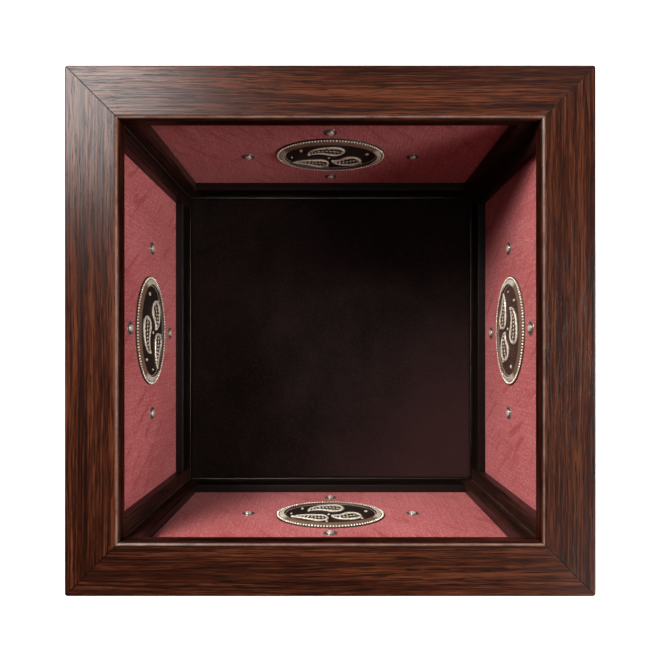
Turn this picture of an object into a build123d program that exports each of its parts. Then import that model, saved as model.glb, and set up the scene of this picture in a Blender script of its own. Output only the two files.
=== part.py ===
"""Offering plate: a square, deep collection plate of dark hardwood, in millimetres.

Four walls stand on a base board and carry a flat mitred rim. Inside, each wall has a silk
panel in a frame of stiles and a bottom rail, with an oval cast medallion and four dome nails.
A velvet pad covers the floor. +Z is up, +X is the right side and +Y is the back, and the
origin is on the surface that the plate rests on, under its centre.
"""

import os
from math import radians, sqrt, tan

from build123d import *

# Overall size
plate_width = 300.0  # across the rim, both ways
plate_height = 150.0

# Rim: four flat boards, mitred at the corners
rim_width = 31.0
rim_thickness = 8.0
rim_corner_radius = 2.0
rim_outer_rounding = 1.5
rim_inner_rounding = 2.8

# Inner frame, flush with the rim's opening
frame_thickness = 6.0
stile_width = 10.5
rail_height = 20.0
frame_rounding = 0.6
tenon_length = 4.0
tenon_thickness = 2.0
tenon_shoulder = 4.0  # rail left above and below the tenon

# Silk on a stiff lining board, behind the frame
silk_thickness = 0.4
lining_thickness = 2.0

# Outer walls
wall_thickness = 12.0
wall_corner_radius = 1.5
tongue_width = 4.0  # on top of the walls, in a groove under the rim
tongue_height = 2.5
rebate_width = 7.0  # at the foot of the walls, for the base board

# Loose splines across the mitres
wall_spline_width = 8.0
wall_spline_thickness = 2.5
wall_spline_setback = 5.0  # from the wall's inner corner, each way
wall_spline_end_gap = 2.0
rim_spline_width = 10.0
rim_spline_length = 24.0
rim_spline_thickness = 1.6
rim_spline_depth = 3.5  # from the rim's top to the middle of the spline

# Bottom
felt_thickness = 1.5
felt_setback = 1.0
felt_corner_radius = 2.0
base_thickness = 6.0
floor_board_thickness = 1.5
pad_thickness = 4.0
pad_rounding = 1.5

# Screws through the base board into the walls
screw_diameter = 2.9
screw_head_diameter = 5.6
screw_length = 14.0
screw_tip_length = 3.0
screw_slot_width = 0.8
screw_slot_depth = 0.6
countersink_angle = 90.0
screw_spacing = 90.0
screws_per_side = 3
screw_setback = 3.8  # from the wall's inner face

# Oval medallions
medallion_width = 75.0
medallion_height = 54.0
medallion_drop = 1.0  # below the panel's middle
medallion_edge_height = 1.0
medallion_crest_height = 2.2
medallion_bead_ledge = 2.0  # flat ledge outside the raised border
medallion_border_width = 4.0
medallion_slope_width = 3.0  # the border's slope up from the ledge
medallion_slope_height = 1.0
medallion_bevel = 0.5
scroll_count = 3
scroll_height = 1.0
scroll_radius = 7.6
scroll_orbit_x = 12.5  # from the medallion's centre to each scroll's own centre
scroll_orbit_y = 8.6
pin_diameter = 2.0
pin_length = 8.0
pin_spacing = 40.0

# Dome nails, four round each medallion
nail_head_diameter = 9.0
nail_head_height = 1.9
nail_head_edge = 0.4
nail_shank_diameter = 1.6
nail_length = 10.0
nail_tip_length = 2.5
nail_offset_long = 57.5  # from the nails' middle, along the wall
nail_offset_tall = 38.4  # up and down
nail_drop = 3.6  # of the nails' middle, below the panel's middle

# The side walls' medallions and nails sit this far behind the middle
side_shift = 3.0

# Clearances
spline_clearance = 0.1
tongue_clearance = 0.1
tenon_clearance = 0.1
base_clearance = 0.2
pad_clearance = 0.4
pin_clearance = 0.05  # on the radius
end_clearance = 0.4  # past the end of a pin, nail, screw or tongue
overcut = 1.0  # a cut starts this far outside the piece that it cuts

# Distances from the centre line to each upright face
frame_face = plate_width / 2 - rim_width
silk_face = frame_face + frame_thickness
lining_face = silk_face + silk_thickness
wall_face = lining_face + lining_thickness
wall_outside = wall_face + wall_thickness
rebate_face = wall_face + rebate_width
tongue_middle = (wall_face + wall_outside) / 2
screw_line = wall_face + screw_setback

# Heights above the surface that the plate rests on
wall_bottom = felt_thickness
base_top = wall_bottom + base_thickness
wall_top = plate_height - rim_thickness
rail_top = base_top + rail_height
panel_middle = (rail_top + wall_top) / 2
medallion_middle = panel_middle - medallion_drop
nail_middle = panel_middle - nail_drop
floor_board_top = base_top + floor_board_thickness
pad_top = floor_board_top + pad_thickness
wall_spline_bottom = base_top + wall_spline_end_gap
wall_spline_top = wall_top - wall_spline_end_gap

# Each side's turn about the centre line, its fittings' shift along it, and what its ends face
sides = {
    "front": (0, 0, ("left", "right")),
    "right": (90, side_shift, ("front", "back")),
    "back": (180, 0, ("right", "left")),
    "left": (270, -side_shift, ("back", "front")),
}

# Distances from the centre line, along the diagonal, to the middles of the splines
wall_spline_middle = (wall_face + wall_spline_setback) * sqrt(2)
rim_spline_middle = (frame_face + rim_width / 2) * sqrt(2)
rim_spline_bottom = plate_height - rim_spline_depth - rim_spline_thickness / 2

nail_places = [
    (-nail_offset_long, 0),
    (nail_offset_long, 0),
    (0, -nail_offset_tall),
    (0, nail_offset_tall),
]
pin_places = [(-pin_spacing / 2, 0), (pin_spacing / 2, 0)]
screw_places = [
    ((i - (screws_per_side - 1) / 2) * screw_spacing, screw_line) for i in range(screws_per_side)
]

os.makedirs("parts", exist_ok=True)


def level(height, turn=0):
    """A level plane at this height, turned about the plate's centre line."""
    return Plane.XY.offset(height).rotated((0, 0, turn))


def facing_down(height, turn):
    """A level plane seen from below, its Y away from the centre line on the turned side."""
    return Plane(origin=(0, 0, height), x_dir=level(0, turn).x_dir, z_dir=(0, 0, -1))


def facing_in(distance, turn, height, shift):
    """An upright plane that faces the centre line, with its origin at this height and shift."""
    side = level(height, turn)
    origin = side.origin - side.y_dir * distance + side.x_dir * shift
    return Plane(origin=origin, x_dir=side.x_dir, z_dir=side.y_dir)


def run_of(turn):
    """The direction in which a side's boards run."""
    return Axis((0, 0, 0), level(0, turn).x_dir)


def inward_of(turn):
    """The direction from a side to the centre line."""
    return Axis((0, 0, 0), level(0, turn).y_dir)


def mitred(inside, outside):
    """In a sketch: one side of a square ring between two distances from the centre line."""
    Polygon((-inside, -inside), (inside, -inside), (outside, -outside), (-outside, -outside), align=None)


def strip(start, end, inside, outside):
    """In a sketch: a rectangle along the front side, between two places and two distances."""
    Polygon((start, -inside), (end, -inside), (end, -outside), (start, -outside), align=None)


def splines(middle, along, across):
    """In a sketch: a rectangle over each of the four mitres, in line with it."""
    with PolarLocations(middle, 4, start_angle=45):
        Rectangle(along, across)


def spline_slots(middle, along, across):
    """In a sketch: the slots that splines of this size fit."""
    splines(middle, along + 2 * spline_clearance, across + 2 * spline_clearance)


def finish(piece, label):
    """Label a finished piece and write it to its own file."""
    piece.part.label = label
    export_step(piece.part, f"parts/{label}.step")


# One dome nail, its head on the plane and its shank behind it
nail_radius = nail_head_diameter / 2
shank_radius = nail_shank_diameter / 2
dome_rise = nail_head_height - nail_head_edge
dome_radius = (nail_radius**2 + dome_rise**2) / (2 * dome_rise)
with BuildPart() as nail:
    with BuildSketch(Plane.XZ):
        with BuildLine():
            RadiusArc((0, nail_head_height), (nail_radius, nail_head_edge), dome_radius)
            Polyline(
                (nail_radius, nail_head_edge),
                (nail_radius, 0),
                (shank_radius, 0),
                (shank_radius, nail_tip_length - nail_length),
                (0, -nail_length),
                (0, nail_head_height),
            )
        make_face()
    revolve(axis=Axis.Z)

# One countersunk screw, its head on the plane and its shank above it
screw_radius = screw_diameter / 2
screw_head_radius = screw_head_diameter / 2
screw_head_height = (screw_head_radius - screw_radius) / tan(radians(countersink_angle / 2))
with BuildPart() as screw:
    with BuildSketch(Plane.XZ):
        Polygon(
            (0, 0),
            (screw_head_radius, 0),
            (screw_radius, screw_head_height),
            (screw_radius, screw_length - screw_tip_length),
            (0, screw_length),
            align=None,
        )
    revolve(axis=Axis.Z)
    with BuildSketch(Plane.XY):
        Rectangle(screw_head_diameter, screw_slot_width)
    extrude(amount=screw_slot_depth, mode=Mode.SUBTRACT)


# One comma-shaped scroll of the medallions' relief
with BuildSketch() as scroll:
    with BuildLine():
        CenterArc((0, 0), scroll_radius, 0, 180)
        CenterArc((-scroll_radius / 2, 0), scroll_radius / 2, 0, 180)
        CenterArc((scroll_radius / 2, 0), scroll_radius / 2, 180, 180)
    make_face()
scroll_places = []
for i in range(scroll_count):
    angle = 90 + 360 / scroll_count * i
    orbit = Vector(1, 0, 0).rotate(Axis.Z, angle)
    scroll_places.append(Location((orbit.X * scroll_orbit_x, orbit.Y * scroll_orbit_y), angle))


def drill_for_pins_and_nails(distance, turn, shift, pin_depth, nail_depth):
    """In a part: the holes of one side's pins and nails, drilled outwards from this distance."""
    with Locations(facing_in(distance, turn, medallion_middle, shift)):
        with Locations(*pin_places):
            Hole(pin_diameter / 2 + pin_clearance, depth=pin_depth)
    with Locations(facing_in(distance, turn, nail_middle, shift)):
        with Locations(*nail_places):
            Hole(shank_radius + pin_clearance, depth=nail_depth)


for side, (turn, shift, ends) in sides.items():
    # Outer wall: tongue on top, rebate at the foot, slots at the mitres
    with BuildPart() as wall:
        with BuildSketch(level(wall_bottom, turn)):
            mitred(wall_face, wall_outside)
            RectangleRounded(2 * wall_outside, 2 * wall_outside, wall_corner_radius, mode=Mode.INTERSECT)
        extrude(amount=wall_top - wall_bottom)
        with BuildSketch(level(wall_top, turn)):
            mitred(tongue_middle - tongue_width / 2, tongue_middle + tongue_width / 2)
        extrude(amount=tongue_height)
        with BuildSketch(level(wall_bottom, turn)):
            mitred(wall_face - overcut, rebate_face)
        extrude(amount=base_thickness, mode=Mode.SUBTRACT)
        with BuildSketch(level(wall_spline_bottom - end_clearance)):
            spline_slots(wall_spline_middle, wall_spline_thickness, wall_spline_width)
        extrude(amount=wall_spline_top - wall_spline_bottom + 2 * end_clearance, mode=Mode.SUBTRACT)
        with Locations(facing_down(base_top, turn)):
            with Locations(*screw_places):
                Hole(screw_radius + pin_clearance, depth=screw_length - base_thickness + end_clearance)
        behind = lining_thickness + silk_thickness
        pin_depth = pin_length - behind + end_clearance
        nail_depth = nail_length - behind + end_clearance
        drill_for_pins_and_nails(wall_face, turn, shift, pin_depth, nail_depth)
    finish(wall, f"wall_{side}")

    # Stiff lining board, and the silk on its face
    with BuildPart() as lining:
        with BuildSketch(level(base_top, turn)):
            mitred(lining_face, wall_face)
        extrude(amount=wall_top - base_top)
        drill_for_pins_and_nails(lining_face, turn, shift, lining_thickness, lining_thickness)
    finish(lining, f"lining_board_{side}")

    with BuildPart() as silk:
        with BuildSketch(level(base_top, turn)):
            mitred(silk_face, lining_face)
        extrude(amount=wall_top - base_top)
        drill_for_pins_and_nails(silk_face, turn, shift, silk_thickness, silk_thickness)
    finish(silk, f"silk_panel_{side}")

    # Bottom rail, tenoned into the stiles
    rail_end = frame_face - stile_width
    tenon_middle = (frame_face + silk_face) / 2
    tenon_inside = tenon_middle - tenon_thickness / 2
    tenon_outside = tenon_middle + tenon_thickness / 2
    with BuildPart() as rail:
        with BuildSketch(level(base_top, turn)):
            strip(-rail_end, rail_end, frame_face, silk_face)
        extrude(amount=rail_height)
        top_edges = rail.faces().sort_by(Axis.Z)[-1].edges().filter_by(run_of(turn))
        fillet(top_edges.sort_by(inward_of(turn))[-1], frame_rounding)
        with BuildSketch(level(base_top + tenon_shoulder, turn)):
            strip(-rail_end - tenon_length, rail_end + tenon_length, tenon_inside, tenon_outside)
        extrude(amount=rail_height - 2 * tenon_shoulder)
    finish(rail, f"bottom_rail_{side}")

    # Two stiles, mitred where they meet the next side's
    for end, name in zip((-1, 1), ends, strict=True):
        with BuildPart() as stile:
            with BuildSketch(level(base_top, turn)):
                Polygon(
                    (end * frame_face, -frame_face),
                    (end * rail_end, -frame_face),
                    (end * rail_end, -silk_face),
                    (end * silk_face, -silk_face),
                    align=None,
                )
            extrude(amount=wall_top - base_top)
            uprights = stile.edges().filter_by(Axis.Z).sort_by(run_of(turn), reverse=end < 0)
            fillet(uprights[:2].sort_by(inward_of(turn))[-1], frame_rounding)
            with BuildSketch(level(base_top + tenon_shoulder - tenon_clearance, turn)):
                mortise_end = end * (rail_end + tenon_length + end_clearance)
                strip(
                    end * (rail_end - overcut),
                    mortise_end,
                    tenon_inside - tenon_clearance,
                    tenon_outside + tenon_clearance,
                )
            mortise_height = rail_height - 2 * tenon_shoulder + 2 * tenon_clearance
            extrude(amount=mortise_height, mode=Mode.SUBTRACT)
        finish(stile, f"stile_{side}_{name}")

    # Rim board: rounded along its edges, grooved for the tongue, slotted at the mitres
    with BuildPart() as rim:
        with BuildSketch(level(wall_top, turn)):
            mitred(frame_face, plate_width / 2)
            RectangleRounded(plate_width, plate_width, rim_corner_radius, mode=Mode.INTERSECT)
        extrude(amount=rim_thickness)
        for end in (0, -1):
            edges = rim.faces().sort_by(Axis.Z)[end].edges()
            outer_edge = edges.filter_by(run_of(turn)).sort_by(SortBy.LENGTH)[-1]
            fillet([outer_edge] + edges.filter_by(GeomType.CIRCLE), rim_outer_rounding)
        top_edges = rim.faces().sort_by(Axis.Z)[-1].edges().filter_by(run_of(turn))
        fillet(top_edges.sort_by(SortBy.LENGTH)[0], rim_inner_rounding)
        groove_half = tongue_width / 2 + tongue_clearance
        with BuildSketch(level(wall_top, turn)):
            mitred(tongue_middle - groove_half, tongue_middle + groove_half)
        extrude(amount=tongue_height + 2 * tongue_clearance, mode=Mode.SUBTRACT)
        with BuildSketch(level(rim_spline_bottom - spline_clearance)):
            spline_slots(rim_spline_middle, rim_spline_length, rim_spline_width)
        extrude(amount=rim_spline_thickness + 2 * spline_clearance, mode=Mode.SUBTRACT)
    finish(rim, f"rim_{side}")

    # Oval medallion: a casting with a bead ledge, a raised border and scrolls on a sunk field
    long_radius = medallion_width / 2
    short_radius = medallion_height / 2
    crest_inset = medallion_bead_ledge + medallion_border_width
    border_face = silk_face - medallion_edge_height
    with BuildPart() as medallion:
        with BuildSketch(facing_in(silk_face, turn, medallion_middle, shift)):
            Ellipse(long_radius, short_radius)
        extrude(amount=medallion_edge_height)
        with BuildSketch(facing_in(border_face, turn, medallion_middle, shift)):
            Ellipse(long_radius - medallion_bead_ledge, short_radius - medallion_bead_ledge)
            Ellipse(long_radius - crest_inset, short_radius - crest_inset, mode=Mode.SUBTRACT)
        extrude(amount=medallion_crest_height - medallion_edge_height)
        crest = medallion.faces().sort_by(inward_of(turn))[-1]
        outer_edge = crest.edges().sort_by(SortBy.LENGTH)[-1]
        chamfer(outer_edge, medallion_slope_width, medallion_slope_height, reference=crest)
        crest = medallion.faces().sort_by(inward_of(turn))[-1]
        chamfer(crest.edges().sort_by(SortBy.LENGTH)[0], medallion_bevel)
        with BuildSketch(facing_in(border_face, turn, medallion_middle, shift)):
            with Locations(*scroll_places):
                add(scroll.sketch)
        extrude(amount=scroll_height)
        with BuildSketch(facing_in(silk_face, turn, medallion_middle, shift)):
            with Locations(*pin_places):
                Circle(pin_diameter / 2)
        extrude(amount=-pin_length)
    finish(medallion, f"medallion_{side}")

    # The four nails of this side
    with BuildPart() as nails:
        with Locations(facing_in(silk_face, turn, nail_middle, shift)):
            with Locations(*nail_places):
                add(nail.part)
    finish(nails, f"dome_nails_{side}")

# Splines: standing ones in the walls' mitres, flat ones in the rim's
with BuildPart() as wall_splines:
    with BuildSketch(level(wall_spline_bottom)):
        splines(wall_spline_middle, wall_spline_thickness, wall_spline_width)
    extrude(amount=wall_spline_top - wall_spline_bottom)
finish(wall_splines, "wall_splines")

with BuildPart() as rim_splines:
    with BuildSketch(level(rim_spline_bottom)):
        splines(rim_spline_middle, rim_spline_length, rim_spline_width)
    extrude(amount=rim_spline_thickness)
finish(rim_splines, "rim_splines")

# Base board, countersunk from below, and its screws
with BuildPart() as base_board:
    with BuildSketch(level(wall_bottom)):
        Rectangle(2 * (rebate_face - base_clearance), 2 * (rebate_face - base_clearance))
    extrude(amount=base_thickness)
    for turn, _, _ in sides.values():
        with Locations(facing_down(wall_bottom, turn)):
            with Locations(*screw_places):
                CounterSinkHole(
                    screw_radius + pin_clearance,
                    screw_head_radius + pin_clearance,
                    depth=base_thickness,
                    counter_sink_angle=countersink_angle,
                )
finish(base_board, "base_board")

with BuildPart() as base_screws:
    for turn, _, _ in sides.values():
        with Locations(level(wall_bottom, turn)):
            with Locations(*[(x, -y) for x, y in screw_places]):
                add(screw.part)
finish(base_screws, "base_screws")

# Felt under the whole base
with BuildPart() as felt:
    felt_width = 2 * (wall_outside - felt_setback)
    with BuildSketch(level(0)):
        RectangleRounded(felt_width, felt_width, felt_corner_radius)
    extrude(amount=felt_thickness)
finish(felt, "base_felt")

# Stiff floor board between the rails, and the velvet pad on it
floor_width = 2 * (frame_face - pad_clearance)
with BuildPart() as floor_board:
    with BuildSketch(level(base_top)):
        Rectangle(floor_width, floor_width)
    extrude(amount=floor_board_thickness)
finish(floor_board, "floor_board")

with BuildPart() as pad:
    with BuildSketch(level(floor_board_top)):
        RectangleRounded(floor_width, floor_width, pad_rounding)
    extrude(amount=pad_thickness)
    fillet(pad.faces().sort_by(Axis.Z)[-1].edges(), pad_rounding / 2)
finish(pad, "velvet_pad")
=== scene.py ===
import math
import random
from functools import partial

import bpy
import numpy as np
from mathutils import Matrix, Vector, noise


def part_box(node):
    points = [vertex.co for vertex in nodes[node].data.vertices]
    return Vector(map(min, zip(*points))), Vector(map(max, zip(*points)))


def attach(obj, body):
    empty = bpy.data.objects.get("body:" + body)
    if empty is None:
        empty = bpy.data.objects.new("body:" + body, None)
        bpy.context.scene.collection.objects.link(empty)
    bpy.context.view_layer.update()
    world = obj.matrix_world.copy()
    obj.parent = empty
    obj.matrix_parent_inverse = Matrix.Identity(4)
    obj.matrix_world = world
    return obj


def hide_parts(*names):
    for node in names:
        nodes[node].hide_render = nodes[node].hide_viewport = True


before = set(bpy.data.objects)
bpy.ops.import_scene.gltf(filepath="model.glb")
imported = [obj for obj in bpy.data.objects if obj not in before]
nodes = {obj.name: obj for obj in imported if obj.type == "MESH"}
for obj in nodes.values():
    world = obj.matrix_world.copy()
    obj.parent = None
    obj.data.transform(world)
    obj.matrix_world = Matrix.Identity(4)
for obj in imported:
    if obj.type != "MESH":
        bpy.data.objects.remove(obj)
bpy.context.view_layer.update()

mm = 0.001
sideNames = ("front", "right", "back", "left")

# from each wall towards the middle
offWall = {
    "front": Vector((0, 1, 0)),
    "right": Vector((-1, 0, 0)),
    "back": Vector((0, -1, 0)),
    "left": Vector((1, 0, 0)),
}
upright = Vector((0, 0, 1))
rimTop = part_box("rim_back")[1][2]
nailRadius = 4.5 * mm


def boxOf(name):
    return [Vector(v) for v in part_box(name)]


def middleOf(name):
    low, high = boxOf(name)
    return (low + high) / 2


def sizeOf(name):
    low, high = boxOf(name)
    return high - low


def wallPlace(side, name):
    # x along the wall, y up, z off the silk, centred on the named node
    middle, off = middleOf(name), offWall[side]
    face = max(corner.dot(off) for corner in boxOf("silk_panel_" + side))
    centre = middle - off * middle.dot(off) + off * face
    axes = Matrix((upright.cross(off), upright, off)).transposed().to_4x4()
    return Matrix.Translation(centre) @ axes


def nailPoints(side):
    # a wall's four nails, from the middle of their node
    span = sizeOf("dome_nails_" + side)
    x, y = max(span.x, span.y) / 2 - nailRadius, span.z / 2 - nailRadius
    return [(-x, 0, 0), (x, 0, 0), (0, -y, 0), (0, y, 0)]


# Helpers for trees

def feed(made, inputs):
    # a socket is linked, and a plain value is set
    for key, value in inputs.items():
        if isinstance(value, bpy.types.NodeSocket):
            made.id_data.links.new(value, made.inputs[key])
        else:
            made.inputs[key].default_value = value


def put(kind, inputs={}, tree=None, **settings):
    # a step goes into the tree of the sockets it takes
    if tree is None:
        tree = next(v.id_data for v in inputs.values() if isinstance(v, bpy.types.NodeSocket))
    made = tree.nodes.new(kind)
    for key, value in settings.items():
        setattr(made, key, value)
    feed(made, inputs)
    return made


def calc(operation, first, second=0.0, clamp=False):
    return put(
        "ShaderNodeMath", {0: first, 1: second}, operation=operation, use_clamp=clamp).outputs[0]


plus, minus, times = (partial(calc, operation) for operation in ("ADD", "SUBTRACT", "MULTIPLY"))


def weighted(*parts):
    # the sum of values, each times its share
    total = times(*parts[0])
    for part in parts[1:]:
        total = plus(total, times(*part))
    return total


def vectors(operation, first, second):
    return put("ShaderNodeVectorMath", {0: first, 1: second}, operation=operation).outputs


def stretched(place, factors):
    return vectors("MULTIPLY", place, factors)[0]


def noiseOf(place, scale, detail=2.0, rough=0.5, twist=0.0, output="Fac"):
    # scale is one number, or a factor for each direction
    if isinstance(scale, tuple):
        place, scale = stretched(place, scale), 1.0
    return put("ShaderNodeTexNoise", {
        "Vector": place, "Scale": scale, "Detail": detail,
        "Roughness": rough, "Distortion": twist}).outputs[output]


def ranged(value, low, high, toLow=0.0, toHigh=1.0, smooth=False):
    return put("ShaderNodeMapRange", {
        "Value": value, "From Min": low, "From Max": high, "To Min": toLow, "To Max": toHigh},
        interpolation_type="SMOOTHSTEP" if smooth else "LINEAR").outputs["Result"]


def spots(place, look, key):
    # a noise cut to its own range
    return ranged(noiseOf(place, *look[key]), *look[key + "Range"], smooth=True)


def mixed(amount, first, second, blend="MIX"):
    return put("ShaderNodeMix", {0: amount, 6: first, 7: second},
               data_type="RGBA", blend_type=blend, clamp_factor=True).outputs[2]


def rgb(red, green, blue):
    # from the 0 to 255 numbers of a colour picker to linear light
    def linear(v):
        v = v / 255
        return v / 12.92 if v <= 0.04045 else ((v + 0.055) / 1.055) ** 2.4
    return (linear(red), linear(green), linear(blue), 1.0)


def newGroup(name, inputs, outputs, kind="ShaderNodeTree"):
    tree = bpy.data.node_groups.new(name, kind)
    for way, sockets in (("INPUT", inputs), ("OUTPUT", outputs)):
        for label, sort in sockets.items():
            tree.interface.new_socket(name=label, in_out=way, socket_type="NodeSocket" + sort)
    return tree.nodes.new("NodeGroupInput").outputs, tree.nodes.new("NodeGroupOutput")


def closed(result, values):
    feed(result, values)
    return result.id_data


def grouped(group, inputs):
    return put("ShaderNodeGroup", inputs, node_tree=group).outputs


def newMaterial(name):
    # also gives its shader and the place on the object, in metres
    material = bpy.data.materials.new(name)
    material.use_nodes = True
    tree = material.node_tree
    shader = next(n for n in tree.nodes if n.type == "BSDF_PRINCIPLED")
    return material, shader, put("ShaderNodeTexCoord", tree=tree).outputs["Object"]


def napOf(place, look):
    return grouped(brushedNap, {"Place": place, "Cloud": look["cloud"], "Fibre": look["fibre"]})


def sheenOf(look):
    return {
        "Specular IOR Level": look["gloss"], "Sheen Weight": look["sheen"],
        "Sheen Roughness": look["sheenRoughness"], "Sheen Tint": look["sheenTint"]}


def painted(shader, name):
    # a value stored on the mesh
    return put("ShaderNodeAttribute", tree=shader.id_data, attribute_name=name).outputs["Fac"]


def bumped(bump, height, **normal):
    # bump is a strength and a distance
    return put("ShaderNodeBump", {
        "Strength": bump[0], "Distance": bump[1], "Height": height, **normal}).outputs[0]


# Helpers for meshes

def placed(name, data):
    holder = bpy.data.objects.new(name, data)
    bpy.context.scene.collection.objects.link(holder)
    return holder


def newPiece(name, vertices, faces, material, smooth=True):
    mesh = bpy.data.meshes.new(name)
    mesh.from_pydata([tuple(v) for v in vertices], [], faces)
    mesh.update()
    piece = placed(name, mesh)
    mesh.materials.append(material)
    mesh.polygons.foreach_set("use_smooth", [smooth] * len(mesh.polygons))
    return piece


def makeSolid(piece, place=None):
    # what the modifiers give becomes the piece's own mesh
    graph = bpy.context.evaluated_depsgraph_get()
    mesh = bpy.data.meshes.new_from_object(
        piece.evaluated_get(graph), preserve_all_data_layers=True, depsgraph=graph)
    piece.modifiers.clear()
    old = piece.data
    piece.data = mesh
    mesh.name = piece.name
    bpy.data.meshes.remove(old)
    if place is not None:
        mesh.transform(place)
        mesh.update()


def setInputs(modifier, tree, values):
    modifier.node_group = tree
    for item in tree.interface.items_tree:
        if item.item_type == "SOCKET" and item.in_out == "INPUT" and item.name in values:
            modifier[item.identifier] = values[item.name]


def storeValues(piece, name, values):
    attribute = piece.data.attributes.new(name, "FLOAT", "POINT")
    attribute.data.foreach_set("value", np.array(values, np.float32))


def gridFaces(across, tall):
    row = across + 1
    return [(j * row + i, j * row + i + 1, (j + 1) * row + i + 1, (j + 1) * row + i)
            for j in range(tall) for i in range(across)]


def ringFaces(rings, around):
    return [(r * around + k, r * around + (k + 1) % around,
             (r + 1) * around + (k + 1) % around, (r + 1) * around + k)
            for r in range(rings) for k in range(around)]


# Shader groups used by several materials

grainLook = dict(
    drift=(5, 16, 16), sway=(0.0, 0.006, 0.006),  # the fibres wander a little
    # factors along and across the grain, detail, roughness
    bands=((2.4, 78, 78), 3.0, 0.55), bandShare=0.27,
    streaks=((8, 560, 560), 5.0, 0.66), streakShare=0.41,
    fibres=((42, 1250, 1250), 3.0, 0.68), fibreShare=0.32,
    punch=6.6,
    # a few redder ribbons, and short dark pores
    ribbons=((6, 240, 240), 2.0, 0.5), ribbonsRange=(0.54, 0.68),
    ribbonShare=0.35, ribbonTint=(1.0, 0.78, 0.66, 1.0),
    pores=((32, 900, 900), 2.0, 0.6), poresRange=(0.56, 0.63), poreShare=0.85,
    roughness=(0.44, 0.36),  # deep and pale
    fibreHeight=0.5, poreHeight=-0.7,
)


def makeStreakyGrain():
    # grain runs along X of Place, in metres
    look = grainLook
    given, result = newGroup("streakyGrain", {
        "Place": "Vector", "Pale": "Color", "Middle": "Color", "Deep": "Color",
        "Contrast": "Float", "Streak Width": "Float",
    }, {"Color": "Color", "Roughness": "Float", "Height": "Float"})
    place = given["Place"]
    sway = noiseOf(place, look["drift"], output="Color")
    sway = stretched(vectors("ADD", sway, (-0.5, -0.5, -0.5))[0], look["sway"])
    bent = vectors("ADD", place, sway)[0]
    scaled = put("ShaderNodeVectorMath", {
        0: bent, "Scale": given["Streak Width"]}, operation="SCALE").outputs[0]
    bands, streaks, fibres = (
        noiseOf(scaled, *look[key]) for key in ("bands", "streaks", "fibres"))
    figure = weighted(
        (bands, look["bandShare"]), (streaks, look["streakShare"]), (fibres, look["fibreShare"]))
    figure = times(minus(figure, 0.5), given["Contrast"])
    figure = plus(times(figure, look["punch"]), 0.5, clamp=True)
    lower = mixed(ranged(figure, 0.0, 0.5), given["Deep"], given["Middle"])
    colour = mixed(ranged(figure, 0.5, 1.0), lower, given["Pale"])
    ribbons = times(spots(scaled, look, "ribbons"), look["ribbonShare"])
    colour = mixed(ribbons, colour, look["ribbonTint"], "MULTIPLY")
    pores = spots(scaled, look, "pores")
    colour = mixed(times(pores, look["poreShare"]), colour, given["Deep"])
    return closed(result, {
        "Color": colour,
        "Roughness": ranged(figure, 0.0, 1.0, *look["roughness"]),
        "Height": weighted((fibres, look["fibreHeight"]), (pores, look["poreHeight"]))})


wearLook = dict(scale=160.0, edge=(0.02, 0.22), patches=(0.34, 0.66, 0.35, 1.0))


def makeEdgeWear():
    # Mask is where an edge is rubbed, and Normal rounds that edge
    given, result = newGroup(
        "edgeWear", {"Place": "Vector", "Radius": "Float", "Strength": "Float"},
        {"Mask": "Float", "Normal": "Vector"})
    rounded = put("ShaderNodeBevel", {"Radius": given["Radius"]}, samples=6).outputs[0]
    flat = put("ShaderNodeNewGeometry", tree=result.id_data).outputs["True Normal"]
    facing = vectors("DOT_PRODUCT", rounded, flat)["Value"]
    edge = ranged(minus(1.0, facing, clamp=True), *wearLook["edge"], smooth=True)
    patches = noiseOf(given["Place"], wearLook["scale"], 3.0)
    patches = ranged(patches, *wearLook["patches"])
    edge = times(times(edge, patches), given["Strength"], clamp=True)
    return closed(result, {"Mask": edge, "Normal": rounded})


seamLook = dict(ragged=260.0, widths=(0.35, 0.65, 0.55, 1.35))


def makeSeamLine():
    # the hairline where two mitred boards meet, on the plate's diagonals
    given, result = newGroup(
        "seamLine", {"Place": "Vector", "Width": "Float"}, {"Mask": "Float"})
    parts = put("ShaderNodeSeparateXYZ", {0: given["Place"]}).outputs
    across, along = (calc("ABSOLUTE", part) for part in parts[:2])
    apart = calc("ABSOLUTE", minus(across, along))
    ragged = noiseOf(given["Place"], seamLook["ragged"])
    width = times(given["Width"], ranged(ragged, *seamLook["widths"]))
    mask = minus(1.0, calc("DIVIDE", apart, width), clamp=True)
    return closed(result, {"Mask": ranged(mask, 0.0, 0.7, smooth=True)})


weaveLook = dict(
    threads=2400.0, warp=2.2, weft=2.6,
    drift=3.0, driftFactors=(60, 60, 1),
    # thick places in the upright threads: factors, detail, roughness, twist
    long=((640, 26, 1), 4.0, 0.65, 0.2), longShare=0.22,
    short=((1500, 150, 1), 3.0, 0.6), shortShare=0.20,
    speckle=((1000, 380, 1), 4.0, 0.75), speckleShare=0.58,
    slubRange=(0.42, 0.58),
    # hair-thin creases, mostly upright and leaning, and broad leaning folds; the folds are painted
    # shade, darker bands with no height
    creaseLean=0.2, crease=((64, 11, 1), 1.0, 0.4, 0.6),
    creaseLevel=0.52, creaseWidth=0.006,
    broken=((38, 22, 1),), brokenRange=(0.53, 0.60),
    foldLean=0.95, fold=((26, 150, 1), 3.0, 0.6, 0.4), foldRange=(0.54, 0.66),
    threadHeight=0.25, slubHeight=0.22, creaseHeight=0.9,
)


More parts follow.
